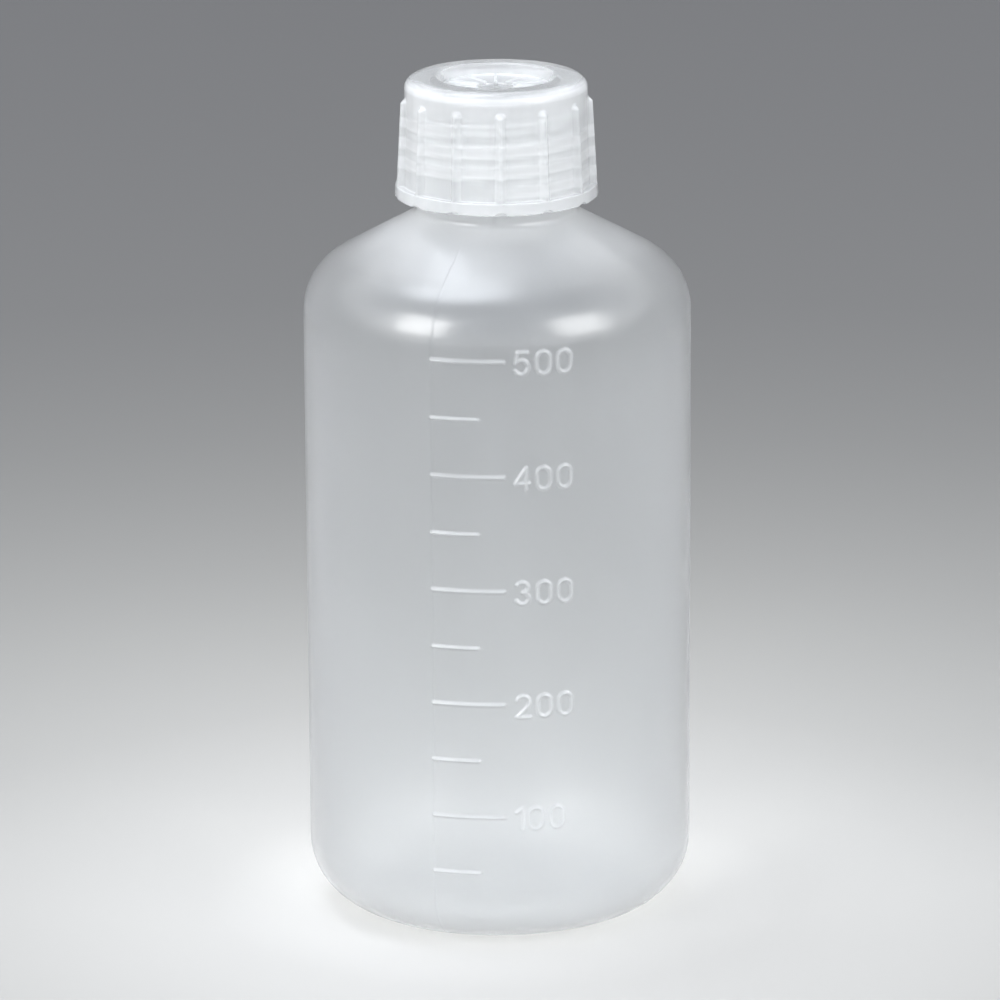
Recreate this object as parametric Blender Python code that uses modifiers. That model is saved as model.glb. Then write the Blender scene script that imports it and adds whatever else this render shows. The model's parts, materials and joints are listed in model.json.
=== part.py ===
"""A 500 ml laboratory reagent bottle of translucent polypropylene.

Three pieces: the blow-moulded bottle with its screw neck and raised graduation marks, the
ribbed screw cap, and the sealing plug that the cap holds under its crown. Metres, +Z up.
The origin is the centre of the flat ring that the bottle stands on.
"""

import math

import bmesh
import bpy
from mathutils import Matrix

MM = 0.001
GAP = 0.3 * MM  # left between pieces that touch

SEGMENTS = 52  # flat sides of a turned piece

# Bottle
BODY_RADIUS = 38.25 * MM
WALL = 1.1 * MM
HEEL_RADIUS = 13.0 * MM
SHOULDER_Z = 121.8 * MM  # top of the straight wall
SHOULDER_ARC = 12.4 * MM
CONE_SLOPE = math.radians(28.75)  # of the shoulder's cone, from the horizontal
FOOT_RING = 4.5 * MM  # width of the flat ring it stands on
BASE_HOLLOW = 1.5 * MM  # how far the middle of the base is pushed up
BASE_HOLLOW_RUN = 3.5 * MM  # horizontal run of the slope into that hollow

# Neck
BORE_RADIUS = 14.1 * MM
NECK_RADIUS = 15.7 * MM
NECK_FILLET = 1.5 * MM
LIP_Z = 164.3 * MM
LIP_EDGE = 0.4 * MM

# Thread: a right-hand round ridge on the neck and another in the cap, side by side
PITCH = 4.0 * MM
RIDGE = 0.7 * MM  # radius of a ridge's round section
RIDGE_STANDS = 0.2 * MM  # how far a ridge's centre line stands off the wall it is on
RIDGE_OFFSET = 0.69 * MM  # each ridge's centre line above or below the middle of the pair
THREAD_START_Z = 148.65 * MM  # middle of the pair where the neck's ridge starts
THREAD_START = math.radians(-13)  # that place, from the front towards +X
NECK_TURNS = 3.3
CAP_TURNS = 3.0
STEPS_PER_TURN = 30
RUN_OUT = math.radians(40)  # over which a ridge's end sinks into its wall
END_SHARE = 0.25  # of a ridge's radius left at its very end
END_SINK = 0.48 * MM  # how far the centre line would move in where a ridge came to nothing

# Graduation marks, one each 50 ml, starting at the mould's parting line
MARK_RIDGE = 0.3 * MM
TOP_MARK_Z = 120.3 * MM  # the 500 ml mark
MARK_SPACING = 11.51 * MM
MARK_COUNT = 10
PARTING_LINE = math.radians(-19.6)  # from the front towards +X
LONG_MARK_END = math.radians(2.0)
SHORT_MARK_END = math.radians(-5.7)
MARK_STEPS = 6

# Cap, with heights from its bottom edge
CAP_BOTTOM_Z = 144.6 * MM
CAP_HEIGHT = 23.8 * MM
CAP_INNER_RADIUS = 17.1 * MM
CAP_TOP_RADIUS = 18.0 * MM  # of the barrel between the ribs, under the crown
CAP_LOW_RADIUS = 18.5 * MM  # of the barrel between the ribs, above the band
CROWN_EDGE = 2.4 * MM
BAND_RADIUS = 20.0 * MM
BAND_HEIGHT = 2.5 * MM
BAND_EDGE = 0.3 * MM
BAND_DRAFT = 0.1 * MM  # how much narrower the band's top is than its foot
CROWN_UNDERSIDE = 21.4 * MM  # above the plug's flange
BOSS_RADIUS = 12.9 * MM  # of the thicker middle of the crown
BOSS_UNDERSIDE = 20.2 * MM

# Grip ribs round the cap, each above a scallop in the band's bottom edge
RIB_COUNT = 13
FIRST_RIB = math.radians(2.6)  # from the front towards +X
RIB_WIDTH = 2.9 * MM
RIB_TOP = 20.3 * MM
RIB_TOP_RADIUS = 18.9 * MM
RIB_ROOT = 1.6 * MM  # how deep a rib is, from its outer face
SCALLOP_HEIGHT = 0.7 * MM
SCALLOP_DEPTH = 0.7 * MM

# Hollow in the crown, with radial ribs, a hub and the stub of the moulding gate
HOLLOW_RADIUS = 11.9 * MM
HOLLOW_FLOOR_RADIUS = 10.5 * MM
HOLLOW_DEPTH = 2.2 * MM
HOLLOW_RIM_EDGE = 0.6 * MM
SPOKE_COUNT = 12
SPOKE_WIDTH = 0.6 * MM
SPOKE_HEIGHT = 0.6 * MM
SPOKE_ROOT = 0.4 * MM  # depth sunk into the floor
SPOKE_END = HOLLOW_FLOOR_RADIUS + 0.7 * MM  # far enough out to end inside the hollow's wall
HUB_RADIUS = 3.6 * MM
HUB_DEPTH = 0.4 * MM
GATE_RADIUS = 0.5 * MM
GATE_HEIGHT = 1.3 * MM

# Sealing plug, with heights from the lip of the neck
FLANGE_RADIUS = 16.6 * MM
FLANGE_TOP = 1.4 * MM
PLUG_RADIUS = BORE_RADIUS - GAP
PLUG_WALL = 1.0 * MM
PLUG_HOLLOW_RADIUS = BOSS_RADIUS + GAP
PLUG_DEPTH = 5.7 * MM
PLUG_FLOOR_TOP = CAP_BOTTOM_Z + BOSS_UNDERSIDE - GAP - LIP_Z
PLUG_FLOOR = 1.1 * MM
PLUG_LEAD_IN = 0.5 * MM


def clear_scene():
    for thing in list(bpy.data.objects):
        bpy.data.objects.remove(thing, do_unlink=True)


def collection(name):
    made = bpy.data.collections.new(name)
    bpy.context.scene.collection.children.link(made)
    return made


def material(name, colour, roughness, see_through):
    made = bpy.data.materials.new(name)
    made.use_nodes = True
    shader = made.node_tree.nodes["Principled BSDF"]
    shader.inputs["Base Color"].default_value = (*colour, 1.0)
    shader.inputs["Roughness"].default_value = roughness
    shader.inputs["Metallic"].default_value = 0.0
    shader.inputs["Transmission Weight"].default_value = see_through
    return made


def place(name, mesh, where, z=0.0):
    thing = bpy.data.objects.new(name, mesh)
    thing.location.z = z
    where.objects.link(thing)
    return thing


def around(radius, angle, z):
    """The point at this radius, with the angle counted from the front (-Y) towards +X."""
    return (radius * math.sin(angle), -radius * math.cos(angle), z)


def arc(centre, radius, start, end, steps):
    """Points of an arc in a profile, from angle start to angle end, in degrees."""
    angles = [math.radians(start + (end - start) * i / steps) for i in range(steps + 1)]
    return [(centre[0] + radius * math.cos(a), centre[1] + radius * math.sin(a)) for a in angles]


def turned(name, profile, where, z=0.0):
    """A closed turned solid. Its profile starts and ends on the axis."""
    mesh = bpy.data.meshes.new(name)
    edges = [(i, i + 1) for i in range(len(profile) - 1)]
    mesh.from_pydata([(radius, 0.0, height) for radius, height in profile], edges, [])
    thing = place(name, mesh, where, z)
    screw = thing.modifiers.new("turn", "SCREW")
    screw.axis = "Z"
    screw.angle = 2 * math.pi
    screw.steps = SEGMENTS
    screw.render_steps = SEGMENTS
    screw.use_merge_vertices = True
    screw.merge_threshold = 0.01 * MM
    screw.use_smooth_shade = True
    return thing


def ridges(name, routes, radius, thickness, where):
    """Round ridges along routes of points, as a mesh. thickness gives each point's share of radius."""
    curve = bpy.data.curves.new(name, "CURVE")
    curve.dimensions = "3D"
    curve.bevel_depth = radius
    curve.bevel_resolution = 2
    curve.use_fill_caps = True
    for route, shares in zip(routes, thickness):
        spline = curve.splines.new("POLY")
        spline.points.add(len(route) - 1)
        for point, position, share in zip(spline.points, route, shares):
            point.co = (*position, 1.0)
            point.radius = share
    return meshed(name, curve, where)


def meshed(name, curve, where):
    """The curve's mesh, with its caps welded, in a new object. The curve is removed."""
    source = bpy.data.objects.new(name + "_curve", curve)
    bpy.context.scene.collection.objects.link(source)
    graph = bpy.context.evaluated_depsgraph_get()
    mesh = bpy.data.meshes.new_from_object(source.evaluated_get(graph))
    bpy.data.objects.remove(source, do_unlink=True)
    welded = bmesh.new()
    welded.from_mesh(mesh)
    bmesh.ops.remove_doubles(welded, verts=welded.verts, dist=0.001 * MM)
    bmesh.ops.recalc_face_normals(welded, faces=welded.faces)
    welded.to_mesh(mesh)
    welded.free()
    return place(name, mesh, where)


def ring_of(name, mesh, count, first_angle, where, z=0.0):
    """Copies of a mesh made at the front, turned about the axis, in one object."""
    ring = bmesh.new()
    for i in range(count):
        before = len(ring.verts)
        ring.from_mesh(mesh)
        ring.verts.ensure_lookup_table()
        turn = Matrix.Rotation(first_angle + i * 2 * math.pi / count, 4, "Z")
        bmesh.ops.transform(ring, matrix=turn, verts=ring.verts[before:])
    joined = bpy.data.meshes.new(name)
    ring.to_mesh(joined)
    ring.free()
    return place(name, joined, where, z)


def helper(thing):
    thing.hide_render = True
    thing.display_type = "WIRE"


def combine(thing, other, operation):
    helper(other)
    boolean = thing.modifiers.new(other.name, "BOOLEAN")
    boolean.operation = operation
    boolean.solver = "EXACT"
    boolean.object = other


def thread_ridge(name, wall_radius, side, turns, where):
    """A ridge of the thread on a wall: side is 1 on the neck's outside, -1 on the cap's inside."""
    steps = round(turns * STEPS_PER_TURN)
    radius = wall_radius + side * RIDGE_STANDS
    route, shares = [], []
    for i in range(steps + 1):
        turned_by = 2 * math.pi * turns * i / steps
        height = THREAD_START_Z + side * RIDGE_OFFSET + PITCH * turned_by / (2 * math.pi)
        from_end = min(turned_by, 2 * math.pi * turns - turned_by)
        shown = END_SHARE + (1 - END_SHARE) * min(1.0, from_end / RUN_OUT)
        sunk = side * END_SINK * (1.0 - shown)
        route.append(around(radius - sunk, THREAD_START + turned_by, height))
        shares.append(shown)
    return ridges(name, [route], RIDGE, [shares], where)


def graduation_marks(where):
    routes = []
    for i in range(MARK_COUNT):
        end = SHORT_MARK_END if i % 2 else LONG_MARK_END
        z = TOP_MARK_Z - i * MARK_SPACING
        angles = [PARTING_LINE + (end - PARTING_LINE) * k / MARK_STEPS for k in range(MARK_STEPS + 1)]
        routes.append([around(BODY_RADIUS, angle, z) for angle in angles])
    shares = [[1.0] * (MARK_STEPS + 1)] * MARK_COUNT
    return ridges("graduation_marks", routes, MARK_RIDGE, shares, where)


def bottle_side(inset):
    """One side of the bottle's wall from shoulder cone to foot, moved in by inset."""
    foot = BODY_RADIUS - HEEL_RADIUS
    shoulder_centre = (BODY_RADIUS - SHOULDER_ARC, SHOULDER_Z)
    shoulder = arc(shoulder_centre, SHOULDER_ARC - inset, 90 - math.degrees(CONE_SLOPE), 0, steps=5)
    heel = arc((foot, HEEL_RADIUS), HEEL_RADIUS - inset, 0, -90, steps=6)
    ring_inside = foot - FOOT_RING
    hollow = [(ring_inside, inset), (ring_inside - BASE_HOLLOW_RUN, inset + BASE_HOLLOW)]
    return shoulder + heel + hollow + [(0.0, inset + BASE_HOLLOW)]


def cone_height(radius, inset):
    """Height of the shoulder's cone at a radius, on its surface moved in by inset."""
    across = radius - (BODY_RADIUS - SHOULDER_ARC)
    along = (SHOULDER_ARC - inset - math.sin(CONE_SLOPE) * across) / math.cos(CONE_SLOPE)
    return SHOULDER_Z + along


def make_bottle(parts, helpers):
    inside = bottle_side(WALL)[::-1]
    bore = [
        (BORE_RADIUS, cone_height(BORE_RADIUS, WALL)),
        (BORE_RADIUS, LIP_Z - LIP_EDGE),
        (BORE_RADIUS + LIP_EDGE, LIP_Z),
    ]
    fillet_radius = NECK_RADIUS + NECK_FILLET
    fillet_centre = (fillet_radius, cone_height(fillet_radius, -NECK_FILLET))
    neck = [(NECK_RADIUS - LIP_EDGE, LIP_Z), (NECK_RADIUS, LIP_Z - LIP_EDGE)]
    neck += arc(fillet_centre, NECK_FILLET, 180, 270 - math.degrees(CONE_SLOPE), steps=3)
    bottle = turned("bottle_body", inside + bore + neck + bottle_side(0.0), parts)
    combine(bottle, thread_ridge("neck_thread", NECK_RADIUS, 1, NECK_TURNS, helpers), "UNION")
    combine(bottle, graduation_marks(helpers), "UNION")
    bottle.data.materials.append(material("bottle_plastic", (0.80, 0.82, 0.84), 0.35, 0.4))


def grip_ribs(where):
    """Flat bars with round tops, leaning in with the cap's draft."""
    half = RIB_WIDTH / 2
    outline = [(-half, 0.0), (half, 0.0)] + arc((0.0, RIB_TOP - BAND_EDGE - half), half, 0, 180, steps=8)
    curve = bpy.data.curves.new("grip_rib", "CURVE")
    curve.dimensions = "2D"
    curve.fill_mode = "BOTH"
    curve.extrude = RIB_ROOT / 2
    spline = curve.splines.new("POLY")
    spline.points.add(len(outline) - 1)
    for point, (x, y) in zip(spline.points, outline):
        point.co = (x, y, 0.0, 1.0)
    spline.use_cyclic_u = True
    bar = meshed("grip_rib", curve, where)
    lean = math.atan((BAND_RADIUS - RIB_TOP_RADIUS) / RIB_TOP)
    stand_up = Matrix.Rotation(math.pi / 2 - lean, 4, "X")
    bar.data.transform(Matrix.Translation((0.0, RIB_ROOT / 2 - BAND_RADIUS, BAND_EDGE)) @ stand_up)
    ring = ring_of("grip_ribs", bar.data, RIB_COUNT, FIRST_RIB, where, CAP_BOTTOM_Z)
    bpy.data.objects.remove(bar, do_unlink=True)
    return ring


def scallops(where):
    """Round cutters across the band's bottom edge, one under each rib."""
    radius = ((RIB_WIDTH / 2) ** 2 + SCALLOP_HEIGHT**2) / (2 * SCALLOP_HEIGHT)
    length = 4 * SCALLOP_DEPTH  # a quarter of it in the band, the rest clear of it
    cutter = bmesh.new()
    bmesh.ops.create_cone(cutter, cap_ends=True, segments=20, radius1=radius, radius2=radius, depth=length)
    lay_down = Matrix.Rotation(math.pi / 2, 4, "X")
    centre = (0.0, SCALLOP_DEPTH - BAND_RADIUS - length / 2, SCALLOP_HEIGHT - radius)
    bmesh.ops.transform(cutter, matrix=Matrix.Translation(centre) @ lay_down, verts=cutter.verts)
    mesh = bpy.data.meshes.new("scallop")
    cutter.to_mesh(mesh)
    cutter.free()
    return ring_of("scallops", mesh, RIB_COUNT, FIRST_RIB, where, CAP_BOTTOM_Z)


def crown_spokes(where):
    """Radial ribs on the floor of the crown's hollow, from the hub to the hollow's wall."""
    floor = CAP_HEIGHT - HOLLOW_DEPTH
    spoke = bmesh.new()
    bmesh.ops.create_cube(spoke, size=1.0)
    size = (SPOKE_WIDTH, SPOKE_END - HUB_RADIUS, SPOKE_HEIGHT + SPOKE_ROOT)
    bmesh.ops.scale(spoke, vec=size, verts=spoke.verts)
    middle = (0.0, -(SPOKE_END + HUB_RADIUS) / 2, floor + (SPOKE_HEIGHT - SPOKE_ROOT) / 2)
    bmesh.ops.translate(spoke, vec=middle, verts=spoke.verts)
    mesh = bpy.data.meshes.new("spoke")
    spoke.to_mesh(mesh)
    spoke.free()
    return ring_of("crown_spokes", mesh, SPOKE_COUNT, 0.0, where, CAP_BOTTOM_Z)


def make_cap(parts, helpers):
    floor = CAP_HEIGHT - HOLLOW_DEPTH
    underside = [
        (0.0, BOSS_UNDERSIDE),
        (BOSS_RADIUS, BOSS_UNDERSIDE),
        (BOSS_RADIUS, CROWN_UNDERSIDE),
        (CAP_INNER_RADIUS, CROWN_UNDERSIDE),
        (CAP_INNER_RADIUS, BAND_EDGE),
        (CAP_INNER_RADIUS + BAND_EDGE, 0.0),
    ]
    band = [
        (BAND_RADIUS - BAND_EDGE, 0.0),
        (BAND_RADIUS, BAND_EDGE),
        (BAND_RADIUS - BAND_DRAFT, BAND_HEIGHT - BAND_EDGE),
        (BAND_RADIUS - BAND_EDGE, BAND_HEIGHT),
        (CAP_LOW_RADIUS, BAND_HEIGHT),
    ]
    crown_edge = arc((CAP_TOP_RADIUS - CROWN_EDGE, CAP_HEIGHT - CROWN_EDGE), CROWN_EDGE, 0, 90, steps=4)
    rim_centre = (HOLLOW_RADIUS + HOLLOW_RIM_EDGE, CAP_HEIGHT - HOLLOW_RIM_EDGE)
    hollow = arc(rim_centre, HOLLOW_RIM_EDGE, 90, 165, steps=2)
    hollow += [(HOLLOW_FLOOR_RADIUS, floor), (HUB_RADIUS, floor), (HUB_RADIUS, floor - HUB_DEPTH)]
    gate_foot = floor - HUB_DEPTH
    gate_top = gate_foot + GATE_HEIGHT
    gate = [(GATE_RADIUS, gate_foot), (GATE_RADIUS / 2, gate_top), (0.0, gate_top)]
    outside = (band + crown_edge + hollow + gate)[::-1]
    cap = turned("screw_cap", outside + underside[::-1], parts, CAP_BOTTOM_Z)
    combine(cap, grip_ribs(helpers), "UNION")
    combine(cap, crown_spokes(helpers), "UNION")
    combine(cap, thread_ridge("cap_thread", CAP_INNER_RADIUS, -1, CAP_TURNS, helpers), "UNION")
    combine(cap, scallops(helpers), "DIFFERENCE")
    cap.data.materials.append(material("cap_plastic", (0.88, 0.90, 0.92), 0.30, 0.2))


def make_plug(parts):
    top = [
        (0.0, PLUG_FLOOR_TOP),
        (PLUG_HOLLOW_RADIUS, PLUG_FLOOR_TOP),
        (PLUG_HOLLOW_RADIUS, FLANGE_TOP),
        (FLANGE_RADIUS, FLANGE_TOP),
        (FLANGE_RADIUS, GAP),
        (PLUG_RADIUS, GAP),
    ]
    skirt = [
        (PLUG_RADIUS, PLUG_LEAD_IN - PLUG_DEPTH),
        (PLUG_RADIUS - PLUG_LEAD_IN, -PLUG_DEPTH),
        (PLUG_RADIUS - PLUG_WALL, -PLUG_DEPTH),
        (PLUG_RADIUS - PLUG_WALL, PLUG_FLOOR_TOP - PLUG_FLOOR),
        (0.0, PLUG_FLOOR_TOP - PLUG_FLOOR),
    ]
    plug = turned("sealing_plug", top + skirt, parts, LIP_Z)
    plug.data.materials.append(material("plug_plastic", (0.90, 0.91, 0.92), 0.35, 0.3))


def main():
    clear_scene()
    parts = collection("reagent_bottle")
    helpers = collection("helpers")
    make_bottle(parts, helpers)
    make_plug(parts)
    make_cap(parts, helpers)


main()
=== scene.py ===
import json
import math

import bpy
import numpy as np
from mathutils import Matrix, Vector
from mathutils.bvhtree import BVHTree


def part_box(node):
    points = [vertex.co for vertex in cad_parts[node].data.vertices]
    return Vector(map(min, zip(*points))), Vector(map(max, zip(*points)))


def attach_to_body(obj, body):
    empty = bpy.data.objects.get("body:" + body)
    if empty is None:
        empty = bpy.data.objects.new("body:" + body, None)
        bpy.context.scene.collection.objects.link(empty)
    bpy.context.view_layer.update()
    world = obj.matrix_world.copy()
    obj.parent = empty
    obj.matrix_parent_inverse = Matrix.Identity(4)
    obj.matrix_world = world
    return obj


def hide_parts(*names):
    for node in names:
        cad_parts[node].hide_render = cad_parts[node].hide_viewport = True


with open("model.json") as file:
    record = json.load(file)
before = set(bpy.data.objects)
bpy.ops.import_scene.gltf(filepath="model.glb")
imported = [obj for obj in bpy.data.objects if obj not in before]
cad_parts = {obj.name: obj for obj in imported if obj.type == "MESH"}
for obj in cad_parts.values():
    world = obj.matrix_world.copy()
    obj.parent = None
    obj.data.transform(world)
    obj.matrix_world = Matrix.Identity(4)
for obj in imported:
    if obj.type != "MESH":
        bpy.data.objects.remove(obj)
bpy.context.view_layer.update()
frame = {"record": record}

# The look of a 500 ml polypropylene reagent bottle. Each moulding is one closed skin: a profile
# turned about the Z axis, whose points are then moved to raise threads, ribs, marks and numerals.
# Angles round the axis are counted from the front (-Y) towards +X. All lengths are in metres.

MM = 0.001
TURN = 2 * math.pi
record = frame["record"]
bottle_low, bottle_high = (Vector(corner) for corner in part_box("bottle_body"))
cap_low, cap_high = (Vector(corner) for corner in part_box("screw_cap"))
plug_low, plug_high = (Vector(corner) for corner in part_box("sealing_plug"))

# ---------------------------------------------------------------- sizes

GAP = 0.3 * MM
BODY_RADIUS = bottle_high.x
LIP_Z = bottle_high.z
WALL = 1.1 * MM
HEEL_RADIUS = 13.0 * MM
SHOULDER_Z = 121.8 * MM
SHOULDER_ARC = 12.4 * MM
CONE_SLOPE = math.radians(28.75)
FOOT_RING = 4.5 * MM
BASE_HOLLOW = 1.5 * MM
BASE_HOLLOW_RUN = 3.5 * MM

BORE_RADIUS = 14.1 * MM
NECK_RADIUS = 15.7 * MM
NECK_FILLET = 1.5 * MM

PITCH = TURN * record["behaviour"]["couplings"][0]["ratio"]
RIDGE_HEIGHT = 0.9 * MM
RIDGE_HALF_WIDTH = 0.72 * MM
RIDGE_OFFSET = 0.69 * MM
THREAD_START_Z = 148.65 * MM
NECK_FOOT = THREAD_START_Z - 3 * MM  # just below the thread
THREAD_START = math.radians(-13)
NECK_TURNS = 3.3
CAP_TURNS = 3.0
RUN_OUT = math.radians(40)

# How milky a place looks follows the wall's thickness, shifted by the values below. They are set for
# the look, and say nothing of how thick the real plastic is.
NECK_THREAD_MILKINESS = 25.0 * MM  # extra thickness that the neck seems to have under its thread
CAP_THREAD_MILKINESS = 1.2 * MM  # the same for the cap's side
THREAD_BAND = 2.5 * MM  # height of the milky band at each turn of the thread
MARK_MILKINESS = 7.0  # extra thickness that a mark seems to have, for each metre it stands
PARTING_CLEARNESS = 8.0  # thickness that doesn't show, for each metre the parting line stands
RIB_CLEARNESS = 0.5  # share of a grip rib's thickness that doesn't show
SHOULDER_MILKINESS = 1.4 * MM  # extra thickness that the cap's side seems to have above its ribs
CROWN_CLEARNESS = 1.8 * MM  # thickness that doesn't show in the crown's ring and hub
LIP_CLEARNESS = 4.0 * MM  # the same for the neck's lip
# Height, and how much thicker the bottle's wall looks there.
BLOWN_THICKNESS = (
    (0.0 * MM, 0.5 * MM),
    (16.0 * MM, 0.0 * MM),
    (112.0 * MM, 0.0 * MM),
    (124.0 * MM, -0.45 * MM),
    (132.0 * MM, -0.7 * MM),
    (145.0 * MM, 2.6 * MM),
    (165.0 * MM, 2.0 * MM),
)

MARK_HEIGHT = 0.48 * MM
MARK_HALF_WIDTH = 0.52 * MM
TOP_MARK_Z = 120.3 * MM
SCALE_TOP = 124.1 * MM  # just above the 500's digits, where the shoulder has begun to bend
MARK_SPACING = 11.51 * MM
MARK_COUNT = 10
PARTING_LINE = math.radians(-19.6)
PARTING_TOP = 139.5 * MM
PARTING_FADE = 3.0 * MM
PARTING_HEIGHT = 0.13 * MM
PARTING_HALF_WIDTH = 0.3 * MM
LONG_MARK_END = math.radians(1.6)
SHORT_MARK_END = math.radians(-6.0)
DIGIT_HEIGHT = 4.35 * MM
DIGIT_WIDTH = 2.7 * MM
DIGIT_PITCH = 4.2 * MM
ONE_PITCH = 0.57 * DIGIT_PITCH  # the 1 takes less room
DIGITS_START = 3.35 * MM  # from the front, along the wall
DIGIT_DROP = 0.35 * MM  # of the digits' middle below their mark
STROKE_HALF_WIDTH = 0.42 * MM
STROKE_HEIGHT = 0.42 * MM
STROKE_FLANK = 0.62 * STROKE_HALF_WIDTH

CAP_BOTTOM = cap_low.z
CAP_HEIGHT = cap_high.z - cap_low.z
CAP_INNER_RADIUS = 17.1 * MM
CAP_TOP_RADIUS = 18.0 * MM
CAP_LOW_RADIUS = 18.5 * MM
CROWN_EDGE = 2.4 * MM
BAND_RADIUS = 20.0 * MM
BAND_HEIGHT = 2.5 * MM
CROWN_UNDERSIDE = 21.4 * MM
BOSS_RADIUS = 12.9 * MM
BOSS_UNDERSIDE = 20.2 * MM
RIB_COUNT = 13
FIRST_RIB = math.radians(2.6)
RIB_HALF_WIDTH = 1.45 * MM
RIB_FLANK = 1.4 * MM
RIB_CROWNING = 0.25  # share of its height that a rib has lost at its edges
RIB_TOP = 20.3 * MM
RIB_TOP_RADIUS = 18.9 * MM
SCALLOP_HEIGHT = 0.7 * MM
SCALLOP_DEPTH = 0.6 * MM
SCALLOP_FLANK = 0.16 * MM
HOLLOW_RADIUS = 11.8 * MM
HOLLOW_FLOOR_RADIUS = 10.5 * MM
HOLLOW_DEPTH = 2.2 * MM
SPOKE_COUNT = 12
SPOKE_HALF_WIDTH = 0.36 * MM
SPOKE_HEIGHT = 0.4 * MM
HUB_RADIUS = 3.6 * MM
HUB_DEPTH = 0.4 * MM
GATE_RADIUS = 0.5 * MM
GATE_HEIGHT = 1.3 * MM

FLANGE_RADIUS = plug_high.x
FLANGE_TOP = plug_high.z
PLUG_BOTTOM = plug_low.z
PLUG_RADIUS = BORE_RADIUS - GAP
PLUG_WALL = 1.0 * MM
PLUG_HOLLOW_RADIUS = BOSS_RADIUS + GAP
PLUG_FLOOR_TOP = CAP_BOTTOM + BOSS_UNDERSIDE - GAP
PLUG_FLOOR = 1.1 * MM

# ---------------------------------------------------------------- turned skins


def outline(corners, spacing, support=0.12 * MM):
    """Points of a profile through (radius, height, fillet radius) corners, as rows of (radius, height).

    Fillets become arcs. Straight stretches are split at the spacing, with one more point
    close to each fillet's ends, so that smooth shading doesn't run out over the flat.
    """
    points = [Vector(corner[:2]) for corner in corners]
    pieces = []
    for i, (corner, (_, _, fillet)) in enumerate(zip(points, corners)):
        if fillet == 0 or i in (0, len(points) - 1):
            pieces.append([corner])
            continue
        back = (points[i - 1] - corner).normalized()
        ahead = (points[i + 1] - corner).normalized()
        half_angle = back.angle(ahead) / 2
        reach = fillet / math.tan(half_angle)
        centre = corner + (back + ahead).normalized() * fillet / math.sin(half_angle)
        start = corner + back * reach - centre
        sweep = (corner + ahead * reach - centre).angle_signed(start)
        step = math.radians(8 if fillet > 2 * MM else 15 if fillet > 0.5 * MM else 22.5)
        steps = max(2, math.ceil(abs(sweep) / step))
        pieces.append([centre + rotated(start, sweep * k / steps) for k in range(steps + 1)])
    rows = []
    for piece, following in zip(pieces, pieces[1:] + [None]):
        rows += piece
        if following is None:
            break
        start, end = piece[-1], following[0]
        length = (end - start).length
        if length < 3 * support:
            continue
        inner = [support / length] if len(piece) > 1 else []
        count = math.ceil(length / spacing)
        inner += [k / count for k in range(1, count)]
        inner += [1 - support / length] if len(following) > 1 else []
        rows += [start.lerp(end, share) for share in sorted(inner)]
    return np.array([tuple(row) for row in rows])


def rotated(arm, angle):
    return Vector((
        arm.x * math.cos(angle) - arm.y * math.sin(angle),
        arm.x * math.sin(angle) + arm.y * math.cos(angle),
    ))


def joined(profile, *more):
    """One profile from several, without the point that two of them share."""
    for part in more:
        profile = np.vstack([profile, part[1:]])
    return profile


def skin(name, radius, height, angles, material):
    """A closed turned skin from grids of radius and height, one row for each profile point.

    Its first and last rows lie on the axis, so each becomes one point.
    """
    rows, columns = radius.shape
    x = radius * np.sin(angles)
    y = -radius * np.cos(angles)
    points = np.stack([x, y, height], axis=2)[1:-1].reshape(-1, 3)
    ends = np.array([(0.0, 0.0, height[0, 0]), (0.0, 0.0, height[-1, 0])])
    first, last = len(points), len(points) + 1
    here = np.arange(columns)
    after = (here + 1) % columns
    upper = np.arange(rows - 3)[:, None] * columns
    quads = np.stack([upper + here, upper + columns + here, upper + columns + after, upper + after], axis=2)
    top = np.stack([np.full(columns, first), here, after], axis=1)
    bottom_row = (rows - 3) * columns
    bottom = np.stack([bottom_row + here, np.full(columns, last), bottom_row + after], axis=1)
    faces = quads.reshape(-1, 4).tolist() + top.tolist() + bottom.tolist()
    mesh = bpy.data.meshes.new(name)
    mesh.from_pydata(np.vstack([points, ends]).tolist(), [], faces)
    mesh.shade_smooth()
    mesh.materials.append(material)
    piece = bpy.data.objects.new(name, mesh)
    bpy.context.scene.collection.objects.link(piece)
    return piece


def add_thickness(mesh, shown, milky):
    """Stores how thick the wall looks under each point of a skin, in millimetres, for its material.

    That is the modelled thickness, kept between the two limits in shown, plus the milky grid.
    """
    tree = BVHTree.FromPolygons([v.co for v in mesh.vertices], [p.vertices for p in mesh.polygons])
    more = np.append(milky[1:-1].ravel(), [milky[0, 0], milky[-1, 0]])
    values = []
    for vertex, extra in zip(mesh.vertices, more):
        inward = -vertex.normal
        _, _, _, depth = tree.ray_cast(vertex.co + inward * 0.02 * MM, inward, shown[1])
        thick = max(shown[0], depth or shown[1])
        values.append(max(0.0, thick + extra) / MM)
    mesh.attributes.new("thickness", "FLOAT", "POINT").data.foreach_set("value", values)


def attach(piece, body, node):
    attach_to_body(piece, body)
    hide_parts(node)


def smooth(share):
    share = np.clip(share, 0.0, 1.0)
    return share * share * (3 - 2 * share)


def larger(a, b, blend=0.08 * MM):
    """The larger of two grids, rounded where they cross."""
    return (a + b + np.sqrt((a - b) ** 2 + blend**2)) / 2


def helix(angle, height, start, turns, half_width, edge):
    """1 along a line that climbs with the thread, falling to 0 at half_width from it, over edge."""
    turned = np.mod(angle - THREAD_START, TURN)
    lap = np.round((height - start) / PITCH - turned / TURN)
    turned = turned + TURN * np.clip(lap, 0, math.floor(turns))
    from_end = np.minimum(turned, TURN * turns - turned)
    off_line = np.abs(height - start - PITCH * turned / TURN)
    return smooth((half_width - off_line) / edge) * smooth(from_end / RUN_OUT)


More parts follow.
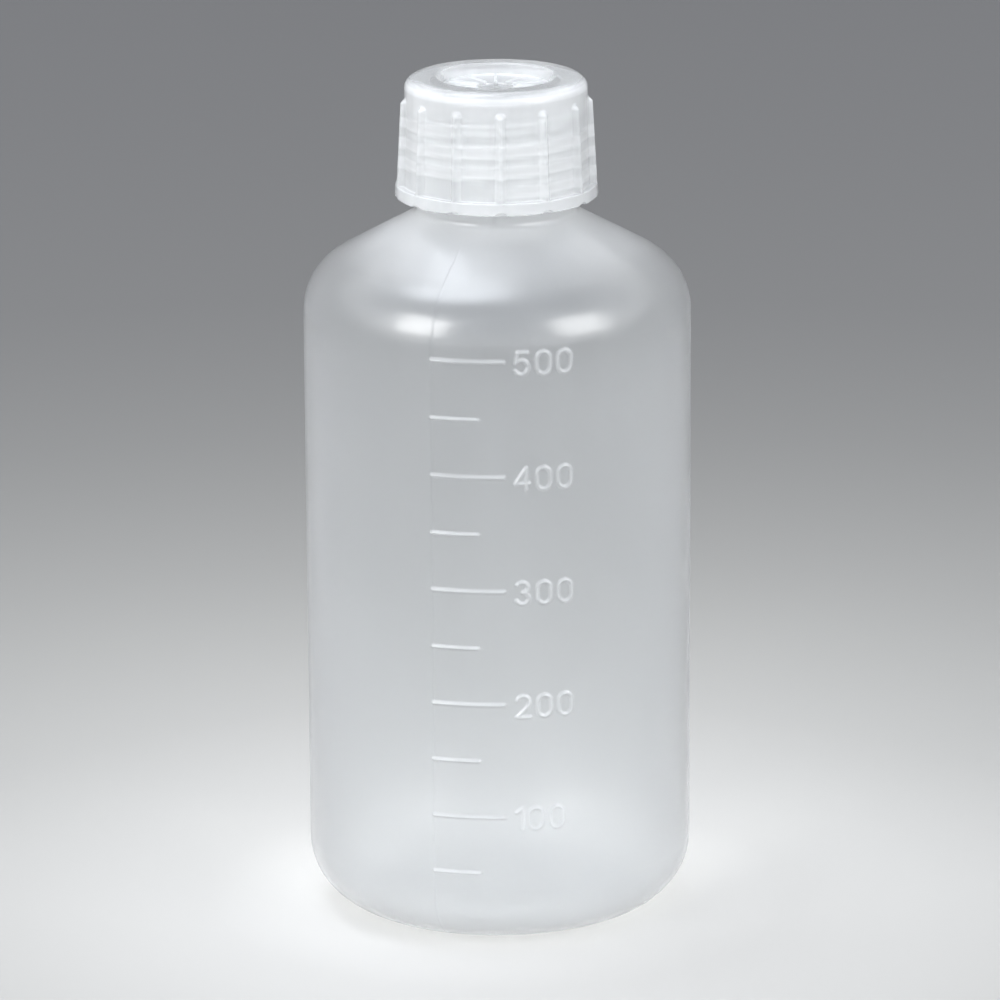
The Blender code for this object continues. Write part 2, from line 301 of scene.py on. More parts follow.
def thread_relief(angle, height, side, turns):
    """How far a ridge of the thread stands off its wall: side is 1 on the neck, -1 in the cap."""
    start = THREAD_START_Z + side * RIDGE_OFFSET
    return RIDGE_HEIGHT * helix(angle, height, start, turns, RIDGE_HALF_WIDTH, RIDGE_HALF_WIDTH)


def thread_band(angle, height, turns):
    """1 where the neck's and the cap's ridges together make one band that light hardly gets through."""
    return helix(angle, height, THREAD_START_Z, turns, THREAD_BAND / 2, 0.35 * MM)


# ---------------------------------------------------------------- graduation scale


def arc_points(centre, radii, start, end, steps=9):
    angles = np.radians(np.linspace(start, end, steps))
    return [(centre[0] + radii[0] * math.cos(a), centre[1] + radii[1] * math.sin(a)) for a in angles]


# Strokes of each digit in a box 1 wide and 1 high.
DIGITS = {
    "0": [
        arc_points((0.5, 0.68), (0.5, 0.32), 0, 180)
        + arc_points((0.5, 0.32), (0.5, 0.32), 180, 360)
        + [(1.0, 0.68)],
    ],
    "1": [[(0.0, 0.80), (0.45, 1.0), (0.45, 0.0)]],
    "2": [arc_points((0.5, 0.70), (0.46, 0.30), 165, -35, 11) + [(0.04, 0.0), (1.0, 0.0)]],
    "3": [
        arc_points((0.48, 0.76), (0.42, 0.24), 155, -90, 11),
        arc_points((0.48, 0.27), (0.48, 0.27), 90, -155, 11),
    ],
    "4": [[(0.78, 0.0), (0.78, 1.0), (0.0, 0.28), (1.0, 0.28)]],
    "5": [
        [(0.90, 1.0), (0.16, 1.0), (0.06, 0.52)]
        + arc_points((0.46, 0.33), (0.50, 0.33), 125, -150, 12)
    ],
}


def distance_to_stroke(x, y, stroke):
    """Distance of each (x, y) to a stroke, a chain of straight lines."""
    nearest = np.full(x.shape, 1.0)
    for (ax, ay), (bx, by) in zip(stroke, stroke[1:]):
        dx, dy = bx - ax, by - ay
        along = np.clip(((x - ax) * dx + (y - ay) * dy) / (dx * dx + dy * dy), 0.0, 1.0)
        nearest = np.minimum(nearest, np.hypot(x - ax - along * dx, y - ay - along * dy))
    return nearest


def stroke_relief(x, y, stroke, corner):
    """How far a stroke of a digit stands off the wall; corner is the lower left of the digit's box."""
    placed = [(corner[0] + px * DIGIT_WIDTH, corner[1] + py * DIGIT_HEIGHT) for px, py in stroke]
    inside = STROKE_HALF_WIDTH - distance_to_stroke(x, y, placed)
    return STROKE_HEIGHT * smooth(inside / STROKE_FLANK)


def scale_relief(angle, height):
    """How far the marks and the numerals stand off the body's wall."""
    across = BODY_RADIUS * angle
    relief = np.zeros(across.shape)
    for i in range(MARK_COUNT):
        z = TOP_MARK_Z - i * MARK_SPACING
        near = np.abs(height[:, 0] - z) < DIGIT_HEIGHT
        x, y = across[near], height[near]
        end = SHORT_MARK_END if i % 2 else LONG_MARK_END
        line = [(BODY_RADIUS * PARTING_LINE, z), (BODY_RADIUS * end, z)]
        shapes = [MARK_HEIGHT * smooth(1 - distance_to_stroke(x, y, line) / MARK_HALF_WIDTH)]
        if i % 2 == 0:
            left = DIGITS_START
            for digit in str(500 - 50 * i):
                corner = (left, z - DIGIT_DROP - DIGIT_HEIGHT / 2)
                for stroke in DIGITS[digit]:
                    shapes.append(stroke_relief(x, y, stroke, corner))
                left += ONE_PITCH if digit == "1" else DIGIT_PITCH
        relief[near] = np.maximum.reduce([relief[near], *shapes])
    return relief


def parting_relief(angle, height):
    """The mould's parting line, a fine ridge down both sides of the bottle."""
    off = np.minimum(np.abs(angle - PARTING_LINE), np.abs(angle - PARTING_LINE - math.pi)) * BODY_RADIUS
    across = smooth(1 - off / PARTING_HALF_WIDTH)
    return PARTING_HEIGHT * across * smooth((PARTING_TOP - height) / PARTING_FADE)


# ---------------------------------------------------------------- bottle


def bottle_angles():
    """Columns round the bottle, close together across the scale and beside the far parting line."""
    fine = math.radians(0.32)
    left = PARTING_LINE - math.radians(0.96)
    right = (DIGITS_START + 3 * DIGIT_PITCH) / BODY_RADIUS
    around = np.arange(left, right, fine)
    between = (around > PARTING_LINE + math.radians(1.2)) & (around < LONG_MARK_END - math.radians(0.9))
    near_short_end = np.abs(around - SHORT_MARK_END) < math.radians(0.9)
    sparse = between & ~near_short_end & (np.arange(len(around)) % 5 > 0)
    rest = np.linspace(right, left + TURN, 104)[:-1]
    far_line = PARTING_LINE + math.pi + np.arange(-2, 3) * fine
    rest = rest[np.abs(rest - far_line[2]) > math.radians(1.5)]
    return np.sort(np.concatenate([around[~sparse], rest, far_line]))


def scale_rows():
    """The profile where the scale is raised, downwards, with its rows close together at each mark."""
    rows = np.arange(HEEL_RADIUS + 1 * MM, SHOULDER_Z, 3.0 * MM)
    for i in range(MARK_COUNT):
        z = TOP_MARK_Z - i * MARK_SPACING
        half = DIGIT_HEIGHT / 2 + 1.0 * MM if i % 2 == 0 else 0.75 * MM
        step = 0.22 * MM if i % 2 == 0 else 0.15 * MM
        rows = rows[np.abs(rows - z) > half + 0.4 * MM]
        rows = np.append(rows, np.arange(-half, half + step / 2, step) + z)
    rows = np.sort(rows[rows < SCALE_TOP])[::-1]
    bend = np.clip((rows - SHOULDER_Z) / SHOULDER_ARC, 0.0, 1.0)
    return np.stack([BODY_RADIUS - SHOULDER_ARC * (1 - np.sqrt(1 - bend**2)), rows], axis=1)


def cone_height(radius, inset=0.0):
    """Height of the shoulder's cone at a radius, on its surface moved in by inset."""
    across = radius - (BODY_RADIUS - SHOULDER_ARC)
    return SHOULDER_Z + (SHOULDER_ARC - inset - math.sin(CONE_SLOPE) * across) / math.cos(CONE_SLOPE)


def make_bottle(material):
    foot = BODY_RADIUS - HEEL_RADIUS - FOOT_RING
    hollow = foot - BASE_HOLLOW_RUN
    inner_wall = BODY_RADIUS - WALL
    inside = outline([
        (0.0, WALL + BASE_HOLLOW, 0),
        (hollow, WALL + BASE_HOLLOW, 2 * MM),
        (foot, WALL, 2 * MM),
        (inner_wall, WALL, HEEL_RADIUS - WALL),
        (inner_wall, cone_height(inner_wall, WALL), SHOULDER_ARC - WALL),
        (BORE_RADIUS, cone_height(BORE_RADIUS, WALL), 1.2 * MM),
        (BORE_RADIUS, LIP_Z, 0.5 * MM),
        ((BORE_RADIUS + NECK_RADIUS) / 2, LIP_Z, 0),
    ], 8 * MM)
    neck = outline([
        ((BORE_RADIUS + NECK_RADIUS) / 2, LIP_Z, 0),
        (NECK_RADIUS, LIP_Z, 0.5 * MM),
        (NECK_RADIUS, NECK_FOOT, 0),
    ], 0.26 * MM)
    shoulder = outline([
        (NECK_RADIUS, NECK_FOOT, 0),
        (NECK_RADIUS, cone_height(NECK_RADIUS), NECK_FILLET),
        (BODY_RADIUS, cone_height(BODY_RADIUS), SHOULDER_ARC),
        (BODY_RADIUS, SHOULDER_Z - 1 * MM, 0),
    ], 3 * MM)
    shoulder = shoulder[shoulder[:, 1] > SCALE_TOP + 0.3 * MM]
    wall = scale_rows()
    base = outline([
        (BODY_RADIUS, wall[-1, 1], 0),
        (BODY_RADIUS, 0.0, HEEL_RADIUS),
        (foot, 0.0, 1 * MM),
        (hollow, BASE_HOLLOW, 3 * MM),
        (0.0, BASE_HOLLOW, 0),
    ], 4 * MM)
    foot_rows = np.count_nonzero(base[:, 1] < 1 * MM) + 4  # which the parting line doesn't reach
    profile = np.vstack([joined(inside, neck, shoulder), wall, base[1:]])
    angles = bottle_angles()
    radius = np.repeat(profile[:, :1], len(angles), axis=1)
    height = np.repeat(profile[:, 1:], len(angles), axis=1)
    angle = np.repeat(angles[None, :], len(profile), axis=0)

    shoulder_start = len(inside) + len(neck) - 2
    wall_start = shoulder_start + len(shoulder)
    on_neck = slice(len(inside) - 1, shoulder_start + 1)
    on_wall = slice(wall_start, wall_start + len(wall))
    on_body = slice(shoulder_start + 1, len(profile) - foot_rows)
    radius[on_neck] += thread_relief(angle[on_neck], height[on_neck], 1, NECK_TURNS)
    scale = scale_relief(angle[on_wall], height[on_wall])
    radius[on_wall] += scale
    parting = parting_relief(angle[on_body], height[on_body])
    radius[on_body] += parting
    milky = np.interp(height, *zip(*BLOWN_THICKNESS))
    milky[on_neck] += NECK_THREAD_MILKINESS * thread_band(angle[on_neck], height[on_neck], NECK_TURNS)
    milky[on_wall] += MARK_MILKINESS * scale
    milky[on_body] -= PARTING_CLEARNESS * parting
    milky[height > LIP_Z - 0.3 * MM] = -LIP_CLEARNESS
    piece = skin("bottle_body_skin", radius, height, angles, material)
    add_thickness(piece.data, (0.0, 5.0 * MM), milky)
    attach(piece, "bottle", "bottle_body")


# ---------------------------------------------------------------- cap


def cap_angles():
    """Columns close together at the edges of the grip ribs and of the crown's spokes."""
    beside_rib = np.array([0, 0.5, 0.85, 1.08, 1.24, 1.36, 1.45, 1.56, 1.8, 2.4]) * MM / BAND_RADIUS
    beside_spoke = np.radians([0, 0.7, 1.4, 2.2, 3.2, 4.6])
    found = []
    for count, first, offsets in ((RIB_COUNT, FIRST_RIB, beside_rib), (SPOKE_COUNT, 0.0, beside_spoke)):
        for i in range(count):
            middle = first + i * TURN / count
            found += [middle + side * offset for offset in offsets for side in (-1, 1)]
    found = np.sort(np.mod(found, TURN))
    apart = np.diff(found, append=found[0] + TURN) > math.radians(0.2)
    return found[apart]


def from_nearest(angle, count, first=0.0):
    """Angle from the nearest of the shapes that repeat count times round the axis."""
    return np.mod(angle - first + math.pi / count, TURN / count) - math.pi / count


def rib_radius(angle, height, barrel):
    """The grip ribs' outer radius: bars with round tops that lean in with the cap's draft."""
    x = from_nearest(angle, RIB_COUNT, FIRST_RIB) * (BAND_RADIUS + RIB_TOP_RADIUS) / 2
    above = np.maximum(height - (RIB_TOP - RIB_HALF_WIDTH), 0.0)
    inside = RIB_HALF_WIDTH - np.hypot(x, above)
    envelope = BAND_RADIUS + (RIB_TOP_RADIUS - BAND_RADIUS) * height / RIB_TOP
    rounding = 1 - RIB_CROWNING * (x / RIB_HALF_WIDTH) ** 2
    return barrel + (envelope - barrel) * smooth(inside / RIB_FLANK) * rounding


def scallop_relief(angle, height):
    """How far the notches at the foot of the band are cut in, one under each rib."""
    x = from_nearest(angle, RIB_COUNT, FIRST_RIB) * BAND_RADIUS
    circle = (RIB_HALF_WIDTH**2 + SCALLOP_HEIGHT**2) / (2 * SCALLOP_HEIGHT)
    inside = circle - np.hypot(x, height - (SCALLOP_HEIGHT - circle))
    return SCALLOP_DEPTH * smooth(inside / SCALLOP_FLANK)


def spoke_height(angle, radius, floor):
    """The crown's spokes: low ribs with round tops and round inner ends."""
    nearest = from_nearest(angle, SPOKE_COUNT)
    x = radius * np.sin(nearest)
    along = radius * np.cos(nearest)
    short = np.maximum(HUB_RADIUS + SPOKE_HALF_WIDTH - along, 0.0)
    inside = SPOKE_HALF_WIDTH - np.hypot(x, short)
    return floor + SPOKE_HEIGHT * smooth(inside / SPOKE_HALF_WIDTH)


def make_cap(material):
    floor = CAP_HEIGHT - HOLLOW_DEPTH
    gate_foot = floor - HUB_DEPTH
    rib_foot = BAND_HEIGHT + 1 * MM
    rib_tops_start = RIB_TOP - 1.8 * MM
    rib_tops_end = RIB_TOP + 0.1 * MM
    mid_band = 0.95 * MM
    rim_radius = (CAP_INNER_RADIUS + BAND_RADIUS) / 2
    underside = outline([
        (0.0, BOSS_UNDERSIDE, 0),
        (BOSS_RADIUS, BOSS_UNDERSIDE, 0.3 * MM),
        (BOSS_RADIUS, CROWN_UNDERSIDE, 0.3 * MM),
        (CAP_INNER_RADIUS, CROWN_UNDERSIDE, 0.6 * MM),
        (CAP_INNER_RADIUS, RIB_TOP - 0.5 * MM, 0),
    ], 6 * MM)[::-1]
    threaded = outline([
        (CAP_INNER_RADIUS, RIB_TOP - 0.5 * MM, 0),
        (CAP_INNER_RADIUS, 1.5 * MM, 0),
    ], 0.36 * MM)[::-1]
    rim = outline([
        (CAP_INNER_RADIUS, 1.5 * MM, 0),
        (CAP_INNER_RADIUS, 0.0, 0.4 * MM),
        (rim_radius, 0.0, 0),
    ], 1 * MM)[::-1]
    band = outline([
        (rim_radius, 0.0, 0),
        (BAND_RADIUS, 0.0, 0.35 * MM),
        (BAND_RADIUS, mid_band, 0),
    ], 0.1 * MM)[::-1]
    ledge = outline([
        (BAND_RADIUS, mid_band, 0),
        (BAND_RADIUS - 0.1 * MM, BAND_HEIGHT, 0.25 * MM),
        (CAP_LOW_RADIUS, BAND_HEIGHT, 0.3 * MM),
        (CAP_LOW_RADIUS, rib_foot, 0),
    ], 1 * MM)[::-1]
    barrel = outline([
        (CAP_LOW_RADIUS, rib_foot, 0),
        (CAP_TOP_RADIUS, rib_tops_start, 0),
    ], 0.5 * MM)[::-1]
    rib_tops = outline([
        (CAP_TOP_RADIUS, rib_tops_start, 0),
        (CAP_TOP_RADIUS, rib_tops_end, 0),
    ], 0.14 * MM)[::-1]
    crown = outline([
        (CAP_TOP_RADIUS, rib_tops_end, 0),
        (CAP_TOP_RADIUS, CAP_HEIGHT, CROWN_EDGE),
        (HOLLOW_RADIUS, CAP_HEIGHT, 0.7 * MM),
        (HOLLOW_FLOOR_RADIUS, floor, 0.5 * MM),
        (HUB_RADIUS, floor, 0.15 * MM),
        (HUB_RADIUS - 0.1 * MM, gate_foot, 0.12 * MM),
        (GATE_RADIUS, gate_foot, 0.2 * MM),
        (0.8 * GATE_RADIUS, gate_foot + 0.6 * GATE_HEIGHT, 0.1 * MM),
        (0.45 * GATE_RADIUS, gate_foot + GATE_HEIGHT, 0.1 * MM),
        (0.0, gate_foot + GATE_HEIGHT, 0),
    ], 0.5 * MM)[::-1]
    profile = joined(crown, rib_tops, barrel, ledge, band, rim, threaded, underside)
    angles = cap_angles()
    radius = np.repeat(profile[:, :1], len(angles), axis=1)
    height = np.repeat(profile[:, 1:], len(angles), axis=1)
    angle = np.repeat(angles[None, :], len(profile), axis=0)

    on_floor = (radius < HOLLOW_RADIUS) & (radius > HUB_RADIUS) & (height > CROWN_UNDERSIDE - HUB_DEPTH)
    raised = larger(height, spoke_height(angle, radius, floor), 0.05 * MM)
    height = np.where(on_floor, raised, height)
    outer = radius > CAP_INNER_RADIUS + 0.5 * MM
    on_side = outer & (height < rib_tops_end) & (height > BAND_HEIGHT - 0.5 * MM)
    ribbed = np.where(on_side, np.maximum(radius, rib_radius(angle, height, radius)), radius)
    milky = -RIB_CLEARNESS * (ribbed - radius)
    milky += SHOULDER_MILKINESS * outer * smooth((height - RIB_TOP + 4 * MM) / (4 * MM))
    radius = ribbed
    on_band = outer & (height < SCALLOP_HEIGHT + 0.3 * MM)
    radius = np.where(on_band, radius - scallop_relief(angle, height), radius)
    in_bore = np.abs(radius - CAP_INNER_RADIUS) < 0.01 * MM
    threads = thread_relief(angle, height + CAP_BOTTOM, -1, CAP_TURNS)
    radius = np.where(in_bore, radius - threads, radius)
    band_milkiness = CAP_THREAD_MILKINESS * thread_band(angle, height + CAP_BOTTOM, CAP_TURNS)
    milky += np.where(in_bore | on_side, band_milkiness, 0.0)
    from_ring = np.abs(radius - (HOLLOW_FLOOR_RADIUS + CAP_INNER_RADIUS) / 2)
    on_ring = smooth((3.8 * MM - from_ring) / (0.8 * MM)) * (height > floor + 0.3 * MM)
    on_hub = smooth((HUB_RADIUS + 0.3 * MM - radius) / (0.3 * MM))
    milky -= CROWN_CLEARNESS * np.maximum(on_ring, on_hub)
    height += CAP_BOTTOM
    piece = skin("screw_cap_skin", radius, height, angles, material)
    add_thickness(piece.data, (1.6 * MM, 2.2 * MM), milky)
    attach(piece, "cap", "screw_cap")


# ---------------------------------------------------------------- plug


def make_plug(material):
    floor_under = PLUG_FLOOR_TOP - PLUG_FLOOR
    inner = PLUG_RADIUS - PLUG_WALL
    profile = outline([
        (0.0, floor_under, 0),
        (inner, floor_under, 0.4 * MM),
        (inner, PLUG_BOTTOM, 0.3 * MM),
        (PLUG_RADIUS, PLUG_BOTTOM, 0.5 * MM),
        (PLUG_RADIUS, LIP_Z + GAP, 0.25 * MM),
        (FLANGE_RADIUS, LIP_Z + GAP, 0.2 * MM),
        (FLANGE_RADIUS, FLANGE_TOP, 0.2 * MM),
        (PLUG_HOLLOW_RADIUS, FLANGE_TOP, 0.2 * MM),
        (PLUG_HOLLOW_RADIUS, PLUG_FLOOR_TOP, 0.2 * MM),
        (0.0, PLUG_FLOOR_TOP, 0),
    ], 2 * MM)[::-1]
    angles = np.linspace(0, TURN, 129)[:-1]
    radius = np.repeat(profile[:, :1], len(angles), axis=1)
    height = np.repeat(profile[:, 1:], len(angles), axis=1)
    piece = skin("sealing_plug_skin", radius, height, angles, material)
    add_thickness(piece.data, (0.0, 2.0 * MM), np.zeros(radius.shape))
    attach(piece, "plug", "sealing_plug")


# ---------------------------------------------------------------- materials

# Sizes of the textures, as their scales, in cells for each metre.
STREAKS = 90.0
GRAIN = 900.0
SCUFFS = 60.0
SPECKS = 150.0
SCRATCHES = 45.0
SPECK_RADIUS = 0.02  # share of a cell
UNEVENNESS = 0.012 * MM


def math_node(tree, operation, *values, clamped=False):
    """The output of a Math node; each value is a number or the socket that gives it."""
    node = tree.nodes.new("ShaderNodeMath")
    node.operation = operation
    node.use_clamp = clamped
    for socket, value in zip(node.inputs, values):
        if isinstance(value, bpy.types.NodeSocket):
            tree.links.new(value, socket)
        else:
            socket.default_value = value
    return node.outputs[0]


def texture(tree, kind, coordinates, scale, **settings):
    node = tree.nodes.new(kind)
    node.inputs["Scale"].default_value = scale
    for name, value in settings.items():
        node.inputs[name].default_value = value
    tree.links.new(coordinates, node.inputs["Vector"])
    return node


def scratch_lines(tree, place, scuffs):
    """1 along fine scratches, in the places that the scuffs pick out."""
    parts = tree.nodes.new("ShaderNodeSeparateXYZ")
    tree.links.new(place, parts.inputs[0])
    to_front = math_node(tree, "MULTIPLY", parts.outputs["Y"], -1.0)
    angle = math_node(tree, "ARCTAN2", parts.outputs["X"], to_front)
    unrolled = tree.nodes.new("ShaderNodeCombineXYZ")
    tree.links.new(math_node(tree, "MULTIPLY", angle, BODY_RADIUS), unrolled.inputs["X"])
    tree.links.new(parts.outputs["Z"], unrolled.inputs["Y"])
    cells = texture(tree, "ShaderNodeTexVoronoi", unrolled.outputs[0], SCRATCHES)
    cells.voronoi_dimensions = "2D"
    cells.feature = "DISTANCE_TO_EDGE"
    lines = math_node(tree, "MULTIPLY_ADD", cells.outputs["Distance"], -160.0, 1.0, clamped=True)
    scuffed = math_node(tree, "MULTIPLY_ADD", scuffs, 4.0, -2.0, clamped=True)
    return math_node(tree, "MULTIPLY", lines, scuffed)


def share_passed(tree, streaks, specks, clearness, reach, grazing):
    """The share of light that gets through the wall, less where it is thick, streaky or specked."""
    thickness = tree.nodes.new("ShaderNodeAttribute")
    thickness.attribute_name = "thickness"
    facing = tree.nodes.new("ShaderNodeLayerWeight").outputs["Facing"]
    slope = math_node(tree, "MAXIMUM", math_node(tree, "SUBTRACT", 1.0, facing), grazing)
    through = math_node(tree, "DIVIDE", thickness.outputs["Fac"], slope)
    cloudiness = math_node(tree, "MULTIPLY_ADD", streaks, -0.6 / reach, -0.2 / reach)
    fading = math_node(tree, "EXPONENT", math_node(tree, "MULTIPLY", through, cloudiness))
    clear = math_node(tree, "SUBTRACT", clearness, math_node(tree, "MULTIPLY", specks, 0.6))
    return math_node(tree, "MULTIPLY", fading, math_node(tree, "MAXIMUM", clear, 0.0))


def plastic(name, colour, clearness, reach, grazing, roughness, scatter, ior, coat, coat_roughness, shadow):
    """Translucent polypropylene.

    Light dies away in it with the wall's thickness, over reach, in millimetres. grazing limits how
    much longer the way through looks at the edges. Flow streaks make it cloudier in places, its
    surface is slightly uneven, and it has fine scratches and specks. shadow is the share of light
    that each wall lets into the piece's shadow. The values, the ior among them, are set for the look.
    """
    material = bpy.data.materials.new(name)
    material.use_nodes = True
    tree = material.node_tree
    shader = tree.nodes["Principled BSDF"]
    shader.inputs["Base Color"].default_value = (*colour, 1.0)
    shader.inputs["IOR"].default_value = ior
    shader.inputs["Coat Weight"].default_value = coat
    shader.inputs["Coat IOR"].default_value = 1.49
    shader.inputs["Coat Roughness"].default_value = coat_roughness
    shader.inputs["Subsurface Weight"].default_value = 1.0
    shader.inputs["Subsurface Radius"].default_value = (1.0, 1.0, 1.0)
    shader.inputs["Subsurface Scale"].default_value = scatter

    place = tree.nodes.new("ShaderNodeTexCoord").outputs["Object"]
    drawn = tree.nodes.new("ShaderNodeMapping")
    drawn.inputs["Scale"].default_value = (1.0, 1.0, 0.25)
    tree.links.new(place, drawn.inputs["Vector"])
    streaks = texture(tree, "ShaderNodeTexNoise", drawn.outputs[0], STREAKS, Detail=3.0).outputs["Fac"]
    grain = texture(tree, "ShaderNodeTexNoise", place, GRAIN, Detail=2.0).outputs["Fac"]
    scuffs = texture(tree, "ShaderNodeTexNoise", place, SCUFFS, Detail=4.0).outputs["Fac"]
    dust = texture(tree, "ShaderNodeTexVoronoi", place, SPECKS).outputs["Distance"]
    specks = math_node(tree, "LESS_THAN", dust, SPECK_RADIUS)
    scratches = scratch_lines(tree, place, scuffs)

    passed = share_passed(tree, streaks, specks, clearness, reach, grazing)
    tree.links.new(passed, shader.inputs["Transmission Weight"])
    worn = math_node(tree, "MULTIPLY_ADD", scuffs, 0.12, roughness - 0.06)
    rough = math_node(tree, "MULTIPLY_ADD", scratches, 0.08, worn)
    tree.links.new(rough, shader.inputs["Roughness"])
    uneven = math_node(tree, "MULTIPLY_ADD", grain, 0.5, streaks)
    bump = tree.nodes.new("ShaderNodeBump")
    bump.inputs["Strength"].default_value = 1.0
    bump.inputs["Distance"].default_value = UNEVENNESS
    tree.links.new(math_node(tree, "MULTIPLY_ADD", scratches, -0.12, uneven), bump.inputs["Height"])
    tree.links.new(bump.outputs["Normal"], shader.inputs["Normal"])
    tree.links.new(bump.outputs["Normal"], shader.inputs["Coat Normal"])

    in_shadow = tree.nodes.new("ShaderNodeLightPath").outputs["Is Shadow Ray"]
    clear = tree.nodes.new("ShaderNodeBsdfTransparent")
    clear.inputs["Color"].default_value = (shadow, shadow, shadow, 1.0)
    either = tree.nodes.new("ShaderNodeMixShader")
    tree.links.new(in_shadow, either.inputs["Fac"])
    tree.links.new(shader.outputs["BSDF"], either.inputs[1])
    tree.links.new(clear.outputs["BSDF"], either.inputs[2])
    tree.links.new(either.outputs["Shader"], tree.nodes["Material Output"].inputs["Surface"])
    return material


# ---------------------------------------------------------------- studio


HORIZON = (0.22, 0.22, 0.225)
WALL_LIGHT = (1.36, 1.38, 1.41)
CEILING = (0.54, 0.59, 0.68)
GLOW = (5.0, 5.2, 5.5)
GLOW_DIRECTION = (-0.2, 0.19, 0.961)
# Painted light: the floor's colour is palest round and under the bottle and greys with distance, a painted
# pool of light standing in for the lamps' fall-off.
# Distance from the bottle's axis, and the floor's grey there with its share of blue.
FLOOR_PAINTED_LIGHT = (
    (0.0, 0.82, 0.95),
    (0.035, 0.69, 0.95),
    (0.06, 0.57, 0.95),
    (0.13, 0.435, 0.94),
    (0.24, 0.3, 0.94),
    (0.36, 0.22, 0.95),
    (0.5, 0.175, 0.965),
    (0.85, 0.156, 0.98),
)


def make_camera():
    """A long lens in front of the bottle, looking down a little."""
    camera = bpy.data.cameras.new("camera")
    camera.lens = 237.7
    camera.sensor_width = 36.0
    camera.shift_x = 0.0018
    camera.clip_end = 20.0
    holder = bpy.data.objects.new("camera", camera)
    aim_height = 82.1 * MM
    distance = 1315.5 * MM
    pitch = math.radians(15.67)
    place = Matrix.Translation((0.0, -distance * math.cos(pitch), aim_height + distance * math.sin(pitch)))
    holder.matrix_world = (
        place @ Matrix.Rotation(math.pi / 2 - pitch, 4, "X") @ Matrix.Rotation(math.radians(-0.31), 4, "Z")
    )
    bpy.context.scene.collection.objects.link(holder)
    bpy.context.scene.camera = holder


def soft_box(name, place, target, size, power):
    lamp = bpy.data.lights.new(name, "AREA")
    lamp.shape = "RECTANGLE"
    lamp.size, lamp.size_y = size
    lamp.energy = power
    holder = bpy.data.objects.new(name, lamp)
    holder.location = place
    holder.rotation_mode = "QUATERNION"
    holder.rotation_quaternion = (Vector(target) - Vector(place)).to_track_quat("-Z", "Y")
    bpy.context.scene.collection.objects.link(holder)


def ramp(tree, along, stops):
    """Colours blended along a value; each stop is (value, colour)."""
    node = tree.nodes.new("ShaderNodeValToRGB")
    elements = node.color_ramp.elements
    elements.remove(elements[1])
    elements[0].position = stops[0][0]
    elements[0].color = (*stops[0][1], 1.0)
    for value, colour in stops[1:]:
        elements.new(value).color = (*colour, 1.0)
    tree.links.new(along, node.inputs["Fac"])
    return node


def make_floor():
    """A floor with painted light: its colour is painted palest round and under the bottle and grey far off,
    a painted pool of light.
    """
    mesh = bpy.data.meshes.new("floor")
    half = 6.0
    low = -0.1 * MM
    corners = [(-half, -half, low), (half, -half, low), (half, half, low), (-half, half, low)]
    mesh.from_pydata(corners, [], [(0, 1, 2, 3)])
    material = bpy.data.materials.new("floor")
    material.use_nodes = True
    tree = material.node_tree
    shader = tree.nodes["Principled BSDF"]
    shader.inputs["Roughness"].default_value = 0.6
    shader.inputs["Specular IOR Level"].default_value = 0.2
    place = tree.nodes.new("ShaderNodeNewGeometry")
    flat = tree.nodes.new("ShaderNodeVectorMath")
    flat.operation = "MULTIPLY"
    flat.inputs[1].default_value = (1.0, 1.0, 0.0)
    far = tree.nodes.new("ShaderNodeVectorMath")
    far.operation = "LENGTH"
    # Painted light: this ramp paints the floor pale round the bottle and grey further out.
    shade = ramp(tree, far.outputs["Value"], [
        (radius, (grey, 0.985 * grey, blue * grey)) for radius, grey, blue in FLOOR_PAINTED_LIGHT
    ])
    shade.color_ramp.interpolation = "B_SPLINE"
    tree.links.new(place.outputs["Position"], flat.inputs[0])
    tree.links.new(flat.outputs["Vector"], far.inputs[0])
    tree.links.new(shade.outputs["Color"], shader.inputs["Base Color"])
    mesh.materials.append(material)
    floor = bpy.data.objects.new("floor", mesh)
    bpy.context.scene.collection.objects.link(floor)


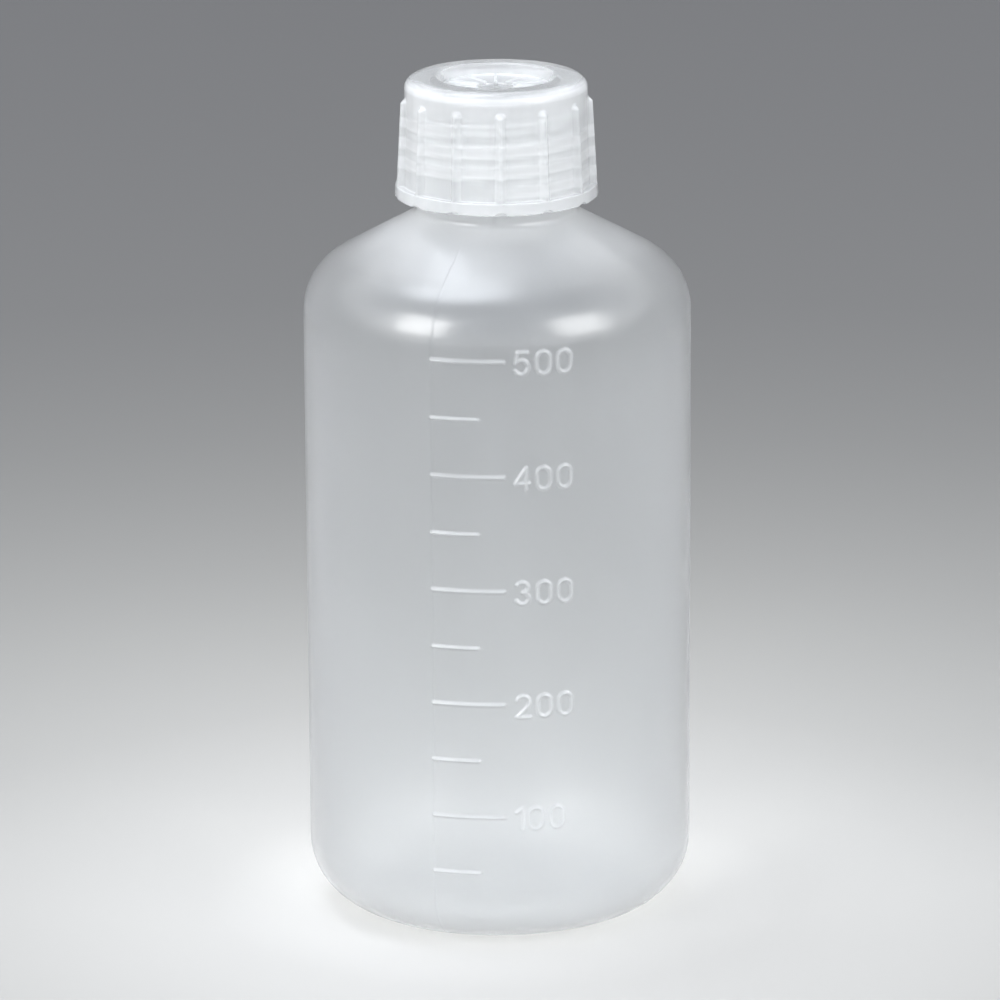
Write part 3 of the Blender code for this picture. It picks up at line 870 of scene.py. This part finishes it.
def make_world():
    """A studio all round: grey behind the bottle, pale in front of it, with a soft glow overhead."""
    world = bpy.data.worlds.new("studio")
    world.use_nodes = True
    tree = world.node_tree
    direction = tree.nodes.new("ShaderNodeTexCoord").outputs["Generated"]
    parts = tree.nodes.new("ShaderNodeSeparateXYZ")
    tree.links.new(direction, parts.inputs[0])
    rise = math_node(tree, "MULTIPLY_ADD", parts.outputs["Y"], -0.45, parts.outputs["Z"])
    walls = ramp(tree, rise, ((0.0, HORIZON), (0.12, HORIZON), (0.35, WALL_LIGHT), (0.88, CEILING)))
    near = tree.nodes.new("ShaderNodeVectorMath")
    near.operation = "DOT_PRODUCT"
    near.inputs[1].default_value = GLOW_DIRECTION
    tree.links.new(direction, near.inputs[0])
    glow = ramp(tree, near.outputs["Value"], ((0.94, (0.0, 0.0, 0.0)), (0.985, GLOW)))
    both = tree.nodes.new("ShaderNodeVectorMath")
    both.operation = "ADD"
    tree.links.new(walls.outputs["Color"], both.inputs[0])
    tree.links.new(glow.outputs["Color"], both.inputs[1])
    tree.links.new(both.outputs["Vector"], tree.nodes["Background"].inputs["Color"])
    bpy.context.scene.world = world


bpy.context.scene.view_settings.view_transform = "Standard"
make_camera()
make_bottle(plastic(
    "bottle_plastic",
    colour=(0.87, 0.88, 0.884),
    clearness=1.0,
    reach=7.0,
    grazing=0.35,
    roughness=0.35,
    scatter=0.2 * MM,
    ior=1.3,
    coat=0.75,
    coat_roughness=0.18,
    shadow=0.8,
))
make_plug(plastic(
    "plug_plastic",
    colour=(0.75, 0.76, 0.77),
    clearness=1.0,
    reach=40.0,
    grazing=0.7,
    roughness=0.35,
    scatter=0.2 * MM,
    ior=1.3,
    coat=0.0,
    coat_roughness=0.1,
    shadow=0.8,
))
make_cap(plastic(
    "cap_plastic",
    colour=(0.87, 0.88, 0.883),
    clearness=0.97,
    reach=1.9,
    grazing=0.9,
    roughness=0.12,
    scatter=0.3 * MM,
    ior=1.15,
    coat=0.8,
    coat_roughness=0.14,
    shadow=0.7,
))
make_floor()
make_world()
soft_box("left_window", (-0.75, -0.68, 0.65), (0, 0, 0.09), (0.58, 0.58), 7.0)
soft_box("right_window", (0.78, -0.62, 0.62), (0, 0, 0.09), (0.58, 0.58), 5.2)
